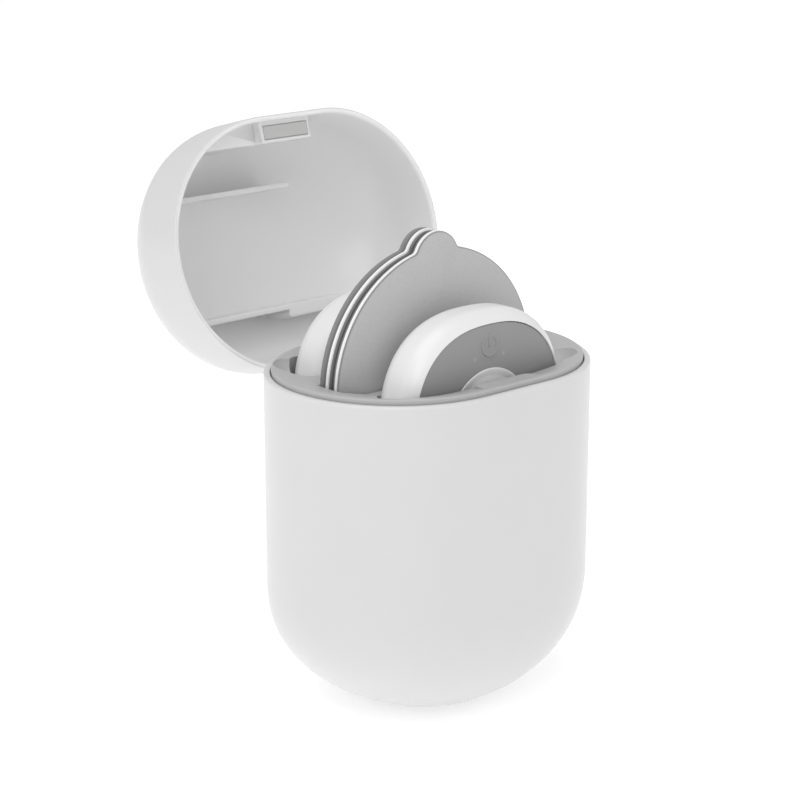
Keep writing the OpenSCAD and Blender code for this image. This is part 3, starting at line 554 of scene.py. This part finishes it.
# Control units: a white ABS casing of 45 mm, a slightly squared round that curves off towards both
# faces. A grey silicone sheet fills the key side, with the power key cut out of the same sheet, two
# small light pipes beside it and a paler dished key in the middle. The rear unit is turned round.
unit_wall = 1.4 * mm
front_round, back_round = 4.9 * mm, 4.2 * mm
face_r, face_crown, face_t, face_lip = 20 * mm, 0.3 * mm, 1.2 * mm, 0.2 * mm
face_edge_w, face_edge_h, face_gap = 0.25 * mm, 0.1 * mm, 0.03 * mm
power_y, power_r, mid_r = 15.6 * mm, 3.1 * mm, 10.9 * mm
power_seam, mid_seam, key_root = 0.012 * mm, 0.05 * mm, 0.5 * mm
light_r, light_proud, light_x, light_drop = 0.4 * mm, 0.02 * mm, 4 * mm, 2.2 * mm
light_places = [(end * light_x, power_y - light_drop) for end in (-1, 1)]
half_t = unit_t / 2
# The casing's front curve starts at the face's lip outside, and ends under the sheet inside.
lip_angle = np.arccos((face_r + face_lip - unit_r + front_round) / front_round)
face_edge_z = half_t - front_round * (1 - np.sin(lip_angle)) - face_lip
ledge_angle = np.arcsin((face_edge_z - face_t - half_t + front_round) / (front_round - unit_wall))


def stand(points, side):
    """Takes a unit's own frame, where Z faces out of the stack and Y is up, to its place."""
    turn = 1 if side == "rear" else -1
    x, y, z = (points[..., n] for n in range(3))
    return np.stack([-turn * x, unit_y[side] + turn * z, unit_z + y], -1)


def unit_piece(name, profile, loop=False):
    """Profile of (radius, height) carried round the unit's squared outline."""
    outline = around(np.linspace(0, 2 * np.pi, 192, endpoint=False), unit_power)
    grid = profile[:, None, :1] * outline
    return skin(name, np.concatenate([grid, profile[:, None, 1:] + 0 * grid[..., :1]], -1), loop)


def crown(radius):
    """Height of the slightly domed face at a squared radius: it rises face_crown in the middle."""
    bow = (face_r ** 2 + face_crown ** 2) / (2 * face_crown)
    return face_edge_z + face_crown - bow + np.sqrt(bow ** 2 - radius ** 2)


def placed(piece, side):
    """Puts a piece that was made in a unit's own frame into its place in the case."""
    return moved(piece, lambda points: stand(points, side))


def bend(depth, height, radius, angles):
    """Arc of a profile about (depth, height): radius * (cos, sin) of each angle."""
    return np.stack([depth + radius * np.cos(angles), height + radius * np.sin(angles)], -1)


down = np.linspace(lip_angle, 0, 25)
back = np.linspace(0, -np.pi / 2, 17)
ledge = np.linspace(0, ledge_angle, 17)
casing_profile = np.vstack([
    bend(unit_r - front_round, half_t - front_round, front_round, down),
    bend(unit_r - back_round, back_round - half_t, back_round, back),
    bend(unit_r - back_round, back_round - half_t, back_round - unit_wall, back[::-1]),
    bend(unit_r - front_round, half_t - front_round, front_round - unit_wall, ledge),
    [(face_r + face_gap, face_edge_z - face_t)]])

# Moulded ABS, polished tool, as the case, but with its colour painted a touch brighter: painted
# light for how it catches the light as it curves.
unit_abs = moulded("unit_abs_moulded", "#eeeeee", "#ebebeb", 0.3, 0.4 * mm, 0.0015 * mm, gloss=0.15)
# Silicone rubber, blasted tool: matt mid grey with a fine even grain.
grey_silicone = moulded("grey_silicone", "#9b9b9b", "#989898", 0.62, 0.25 * mm, 0.006 * mm,
                        ior=1.41)
# The same rubber in a pale shade, from a finer tool: nearly white, and a little less matt.
pale_silicone = moulded("pale_silicone", "#f4f4f4", "#f1f1f1", 0.55, 0.25 * mm, 0.005 * mm,
                        ior=1.41)
# Milky polycarbonate of the light pipes: pale and smooth, so they hardly show in the grey face.
milky_pc = moulded("milky_polycarbonate", "#a6a6a6", "#a3a3a3", 0.5, 0.5 * mm, 0.001 * mm, ior=1.58)


def power_mark(x, y):
    """Raised power symbol about (x, y) = 0: a ring open at the top and an upright bar in the gap,
    both strokes rounded off in height over their half width."""
    ring_r, stroke, height, bar_low, bar_high = 2.05 * mm, 0.29 * mm, 0.3 * mm, 0, 2.4 * mm
    gap = np.radians(43)
    angle = np.arctan2(x, y)
    along = np.clip(np.abs(angle), gap, np.pi)
    ring = np.hypot(np.abs(x) - ring_r * np.sin(along), y - ring_r * np.cos(along))
    bar = np.hypot(x, y - np.clip(y, bar_low, bar_high))
    share = np.clip(np.minimum(ring, bar) / stroke, 0, 1)
    return height * np.sqrt(1 - share ** 2)


def key_top(name, radius, centre_y, rise, edge, relief):
    """Round key about (0, centre_y): its top follows the face's dome, raised by rise and by a
    relief over (x, y), and rounds down by edge at its rim; its side is straight."""
    rings, steps = 64, 160
    out = np.concatenate([np.linspace(0.002, 1, rings) * (radius - edge),
                          radius - edge + edge * np.sin(quarter_turn[1:])])
    drop = np.concatenate([np.zeros(rings), edge * (1 - np.cos(quarter_turn[1:]))])
    turn = np.linspace(0, 2 * np.pi, steps, endpoint=False)
    x = out[:, None] * np.cos(turn)
    y = out[:, None] * np.sin(turn)
    across = (np.abs(x) ** unit_power + np.abs(y + centre_y) ** unit_power) ** (1 / unit_power)
    z = crown(across) + rise - drop[:, None] + relief(x, y)
    top = np.stack([x, y + centre_y, z], -1)
    side = np.stack([x[-1], y[-1] + centre_y, x[-1] * 0 + face_edge_z - face_t - key_root], -1)
    return skin(name, np.concatenate([top, side[None]]))


def finger_dish(x, y):
    """Dish of the middle key: it falls dish_depth below its rim along half a cosine wave."""
    dish_depth, slope_w = 0.4 * mm, 1.9 * mm
    inward = np.clip((mid_r - np.hypot(x, y)) / slope_w, 0, 1)
    return -dish_depth * (1 - np.cos(np.pi * inward)) / 2


face_hub = 0.1 * mm  # where the face's rows end, just off its middle
rings = np.linspace(face_r - face_edge_w, face_hub, 40)
face_profile = np.vstack([
    [(face_hub, face_edge_z - face_t), (face_r, face_edge_z - face_t)],
    np.stack([face_r - face_edge_w + face_edge_w * np.cos(quarter_turn),
              crown(face_r) - face_edge_h + face_edge_h * np.sin(quarter_turn)], -1),
    np.stack([rings, crown(rings)], -1)[1:]])
cut_low, cut_high = face_edge_z - 3 * face_t, face_edge_z + 2 * face_t
holes = [(mid_r + mid_seam, 0, 0), (power_r + power_seam, 0, power_y)]
holes += [(light_r + power_seam, x, y) for x, y in light_places]
power_edge, mid_rise, mid_edge = 0.02 * mm, 0.1 * mm, 0.15 * mm

for side in ("front", "rear"):
    unit = side + "_unit"
    casing = placed(unit_piece(side + "_unit_casing", casing_profile, loop=True), side)
    finish_piece(casing, unit, "unit_white", unit_abs, side + "_host_shell")

    sheet = unit_piece(side + "_unit_silicone_face", face_profile)
    combine(sheet, [tube("hole", circle(radius, 160) + (x, y), cut_low, cut_high, axis=2)
                    for radius, x, y in holes], "DIFFERENCE")
    finish_piece(placed(sheet, side), unit, "unit_face", grey_silicone, side + "_host_face")
    pipes = [tube("pipe", circle(light_r) + place, cut_low, crown(power_y) + light_proud, axis=2)
             for place in light_places]
    pipes = combine(pipes[0], pipes[1:], "UNION")
    pipes.name = side + "_unit_light_pipes"
    finish_piece(placed(pipes, side), unit, "light", milky_pc, side + "_host_lights")

    power = key_top(side + "_power_button", power_r, power_y, 0, power_edge, power_mark)
    finish_piece(placed(power, side), side + "_power_key", "key_grey", grey_silicone,
                 side + "_power_key", sharp=60)
    middle = key_top(side + "_middle_button", mid_r, 0, mid_rise, mid_edge, finger_dish)
    finish_piece(placed(middle, side), side + "_middle_key", "key_light", pale_silicone,
                 side + "_middle_key")


# Pads: each is a layer of grey cloth on foam, a grey gel layer and a white carrier film, cut as one
# disc with a round lifting tab. The front cover thins out towards its rim, where it is pressed
# flat. The rear cover keeps its thickness and has a groove beside the film.
pad_tab_y, pad_tab_r, pad_root_r = 24.6 * mm, 6 * mm, 1.2 * mm


def pad_outline(inset):
    """Outline of a disc with a round tab, drawn in by inset: four arcs about fixed centres, the
    small ones between disc and tab hollow, so that each arc meets the next without a corner."""
    big, small, root = pad_r + pad_root_r, pad_tab_r + pad_root_r, pad_root_r + inset
    root_y = (big ** 2 - small ** 2 + pad_tab_y ** 2) / (2 * pad_tab_y)
    root_x = np.sqrt(big ** 2 - root_y ** 2)
    disc_end = np.arctan2(root_y, root_x)
    tab_end = np.arctan2(root_y - pad_tab_y, root_x)
    disc = np.linspace(np.pi - disc_end, 2 * np.pi + disc_end, 161)
    turn_in = np.linspace(disc_end + np.pi, tab_end + np.pi, 9)[1:-1]
    tab = np.linspace(tab_end, np.pi - tab_end, 49)
    turn_out = np.linspace(-tab_end, -disc_end, 9)[1:-1]
    arcs = [(0, 0, pad_r - inset, disc), (root_x, root_y, root, turn_in),
            (0, pad_tab_y, pad_tab_r - inset, tab), (-root_x, root_y, root, turn_out)]
    return np.vstack([np.stack([x + r * np.cos(t), y + r * np.sin(t)], -1) for x, y, r, t in arcs])


def pad_layer(name, side, low_y, high_y, profile):
    """Pad layer between two depths: each (inset, share of the thickness) of the profile gives one
    outline, from the layer's inner side to its outer side. A third number draws it together."""
    turn = 1 if side == "rear" else -1
    inner, outer = (low_y, high_y) if side == "rear" else (high_y, low_y)
    rows = []
    for inset, share, *scale in profile:
        flat = pad_outline(inset) * (scale or [1])[0]
        rows.append(np.stack([-turn * flat[:, 0], flat[:, 0] * 0 + inner + (outer - inner) * share,
                              pad_z + flat[:, 1]], -1))
    return skin(name, np.stack(rows))


def woven(name, colour, shade, thread, relief):
    """Material of a brushed knit, whose threads lie in no clear rows: noise the size of a thread
    makes its relief and lightens its crests, and noise over broad_w changes its roughness."""
    broad_w, smoothest, roughest = 12 * mm, 0.72, 0.86
    material = bpy.data.materials.new(name)
    material.use_nodes = True
    tree = material.node_tree
    shader = tree.nodes["Principled BSDF"]
    place = add(tree, "ShaderNodeTexCoord").outputs["Object"]
    fine = add(tree, "ShaderNodeTexNoise", Vector=place, Scale=1 / thread, Detail=4.0,
               Roughness=0.7)
    broad = add(tree, "ShaderNodeTexNoise", Vector=place, Scale=1 / broad_w, Detail=2.0)
    tone = add(tree, "ShaderNodeMix", {"data_type": "RGBA"}, Factor=fine.outputs["Fac"])
    tone.inputs["A"].default_value = linear(shade)
    tone.inputs["B"].default_value = linear(colour)
    bump = add(tree, "ShaderNodeBump", Height=fine.outputs["Fac"], Distance=relief, Strength=1.0)
    rough = add(tree, "ShaderNodeMapRange", Value=broad.outputs["Fac"], To_Min=smoothest,
                To_Max=roughest)
    tree.links.new(tone.outputs["Result"], shader.inputs["Base Color"])
    tree.links.new(rough.outputs["Result"], shader.inputs["Roughness"])
    tree.links.new(bump.outputs["Normal"], shader.inputs["Normal"])
    shader.inputs["Sheen Weight"].default_value = 0.15
    return material


# Brushed polyester knit on foam: matt light grey with a fine pebbled grain of about 0.4 mm. Its
# edge and the groove beside the film are painted darker: painted shade between the film and the
# cover.
pad_cloth = woven("pad_knit_on_foam", "#c8c8c8", "#afafaf", 0.4 * mm, 0.05 * mm)
second_tone(pad_cloth, "painted_shade_edge", "#868686")
# PET carrier film: bright white, smooth, with a soft gloss on its cut edge.
film_pet = moulded("pet_film", "#fafafa", "#f6f6f6", 0.35, 0.5 * mm, 0.001 * mm, ior=1.57)
# Hydrogel: grey, smooth and moist, so it shines more than the layers round it.
hydrogel = moulded("hydrogel", "#767676", "#707070", 0.22, 0.8 * mm, 0.004 * mm, ior=1.38)

# The front cover's crown: from crowned_rim of its thickness at the rim it rises along a parabola
# over crowned_w. Its outline is drawn in as far as the tab's shape allows, and is then scaled.
crowned_w, crowned_rim, crowned_start, deepest_inset = 13 * mm, 0.16, 0.1 * mm, 4.5 * mm
inward = np.linspace(0, 1, 40)
crowned_inset = crowned_start + np.minimum(crowned_w * inward, deepest_inset)
crowned = np.stack([
    crowned_inset, crowned_rim + (1 - crowned_rim) * (1 - (1 - inward) ** 2),
    (pad_r - crowned_start - crowned_w * inward) / (pad_r - crowned_inset)], -1).tolist()
# Each layer's profile: rows of (inset, share of the thickness) from its inner to its outer side.
cover_profile = {
    "front": [(1.2 * mm, 0), (0.2 * mm, 0), (0.1 * mm, 0.06), *crowned],
    "rear": [(1.6 * mm, 0), (1 * mm, 0), (0.9 * mm, 0.04), (0.85 * mm, 0.34), (0.35 * mm, 0.4),
             (0.12 * mm, 0.48), (0.1 * mm, 0.6), (0.1 * mm, 0.78), (0.18 * mm, 0.9),
             (0.4 * mm, 0.97), (0.8 * mm, 1), (2.5 * mm, 1)],
}
film_profile = [(1 * mm, 0), (0.05 * mm, 0), (0, 0.08), (0, 0.92), (0.05 * mm, 1), (1 * mm, 1)]
gel_profile = {"front": [(1 * mm, 0), (0.4 * mm, 0), (0.25 * mm, 0.3), (0.2 * mm, 1), (1 * mm, 1)],
               "rear": [(2 * mm, 0), (0.6 * mm, 0), (0.45 * mm, 0.3), (0.4 * mm, 1), (2 * mm, 1)]}
gel_swell = {"front": 0.3 * mm, "rear": 0}
# The cover's edge found by this facing is painted darker, as painted shade.
painted_shade_facing = 0.8  # a cover's edge is what faces outwards along the stack by less than this

for side in ("front", "rear"):
    for part, profile, slot, material in (("cover", cover_profile[side], "pad_fabric", pad_cloth),
                                          ("film", film_profile, "pad_film", film_pet),
                                          ("gel", gel_profile[side], "pad_gel", hydrogel)):
        node = f"{side}_pad_{part}"
        low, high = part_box(node)
        if part == "gel":
            high.y += gel_swell[side]
        layer = pad_layer(f"{side}_pad_{part}_layer", side, low.y, high.y, profile)
        finish_piece(layer, side + "_pad", slot, material, node, sharp=50)
        if part == "cover":
            facing = surface(layer)[1][:, 1] * (1 if side == "rear" else -1)
            # Marks the cover's edge, whose colour is painted darker as painted shade.
            mark(layer, "painted_shade_edge", facing < painted_shade_facing)


# Small metal, boards and cells: turned and stamped steel, nickel and gold plate, solder mask and
# foil. Most of them stay inside, and the hinge and the socket show at the back.
def metal(name, colour, roughness, grain, relief):
    """Material of bare or plated metal: one colour, fine noise in its relief and in its roughness,
    and the shader's own IOR."""
    material = moulded(name, colour, colour, roughness, grain, relief, ior=1.5)
    material.node_tree.nodes["Principled BSDF"].inputs["Metallic"].default_value = 1.0
    return material


# Stainless steel, stamped or turned: pale grey with a soft brushed gloss.
steel = metal("stainless_steel", "#d6d6d5", 0.45, 0.2 * mm, 0.002 * mm)
# Nickel plate: brighter and smoother than steel, slightly warm.
nickel = metal("nickel_plate", "#cfccc6", 0.22, 0.5 * mm, 0.001 * mm)
# Gold plate on brass: warm yellow, smooth.
gold = metal("gold_plate", "#d9b26a", 0.25, 0.4 * mm, 0.001 * mm)
# Foil pouch of a lithium cell: dull silver with soft creases.
foil = metal("cell_foil", "#b9bcc0", 0.4, 3 * mm, 0.05 * mm)
# Green solder mask on glass fibre: dark, glossy, with the weave just showing.
solder_mask = moulded("solder_mask", "#1d5a38", "#1a5032", 0.35, 0.6 * mm, 0.01 * mm)
# Black nylon of the switches: matt and slightly rough.
black_nylon = moulded("black_nylon", "#1c1c1d", "#18181a", 0.5, 0.3 * mm, 0.004 * mm)

carried = {
    "latch_magnet": nickel, "hinge_bracket": steel, "hinge_pin": steel, "hinge_screws": steel,
    "battery_cradle": grey_abs, "case_battery": foil, "charging_board": solder_mask,
    "charging_socket": nickel, "board_screws": steel, "front_charge_pins": gold,
    "rear_charge_pins": gold, "latch_plate": steel, "hinge_arm": steel,
}
for side in ("front", "rear"):
    for part, material in (("host_back_cover", unit_abs), ("host_board", solder_mask),
                           ("host_switches", black_nylon), ("host_battery", foil),
                           ("host_snap_sockets", nickel), ("host_contacts", gold),
                           ("pad_studs", nickel)):
        carried[f"{side}_{part}"] = material
for name, material in carried.items():
    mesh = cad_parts[name].data
    mesh.materials.clear()
    mesh.materials.append(material)


# Studio: a pale floor that runs out past the view, white light from all sides with two soft lamps
# above, and the camera where the photograph was taken from.
floor_half, floor_glow, sky = 6.0, 0.37, 0.66
floor_corners = np.array([(-1, -1, 0), (1, -1, 0), (1, 1, 0), (-1, 1, 0)]) * floor_half
floor_mesh = bpy.data.meshes.new("studio_floor")
floor_mesh.from_pydata(floor_corners, [], [(0, 1, 2, 3)])
floor = bpy.data.objects.new("studio_floor", floor_mesh)
bpy.context.scene.collection.objects.link(floor)
# Matt white paint that glows faintly, as a light table does.
paint = moulded("studio_paint", "#f4f4f4", "#f2f2f2", 0.9, 5 * mm, 0.0)
paint.node_tree.nodes["Principled BSDF"].inputs["Emission Strength"].default_value = floor_glow
floor_mesh.materials.append(paint)

world = bpy.data.worlds.new("studio")
bpy.context.scene.world = world
world.use_nodes = True
background = world.node_tree.nodes["Background"].inputs
background["Color"].default_value = (1, 1, 1, 1)
background["Strength"].default_value = sky


def soft_light(name, place, aim, size, power):
    """Round lamp of a diameter in metres and a power in watts at a place, turned to its aim."""
    data = bpy.data.lights.new(name, "AREA")
    data.shape, data.size, data.energy = "DISK", size, power
    light = bpy.data.objects.new(name, data)
    bpy.context.scene.collection.objects.link(light)
    light.location = place
    light.rotation_euler = (Vector(aim) - Vector(place)).to_track_quat("-Z", "Y").to_euler()


aim_at = (0, 0, 60 * mm)
soft_light("top_light", (-0.3, 0, 1.25), aim_at, 1.2, 4.5)
soft_light("front_light", (-0.9, -0.8, 0.9), aim_at, 0.8, 2.5)

# Away points from the object to the camera, which stands off the middle of the case's rim by a
# distance that way and by small steps to its right and upwards.
view_azimuth, view_elevation = np.radians(-41.65), np.radians(16.26)
view_distance, view_right, view_up = 465.6 * mm, -6.04 * mm, -7.9 * mm
right = Vector((np.cos(view_azimuth), np.sin(view_azimuth), 0))
away = Vector((np.sin(view_azimuth) * np.cos(view_elevation),
               -np.cos(view_azimuth) * np.cos(view_elevation), np.sin(view_elevation)))
upward = away.cross(right)
camera_data = bpy.data.cameras.new("camera")
camera_data.lens, camera_data.sensor_width = 100.1, 36
camera = bpy.data.objects.new("camera", camera_data)
bpy.context.scene.collection.objects.link(camera)
camera_turn = Matrix((right, upward, away)).transposed().to_4x4()
stand_at = Vector((0, 0, rim_z)) + view_distance * away + view_right * right + view_up * upward
camera.matrix_world = Matrix.Translation(stand_at) @ camera_turn
bpy.context.scene.camera = camera
bpy.context.scene.view_settings.view_transform = "Standard"
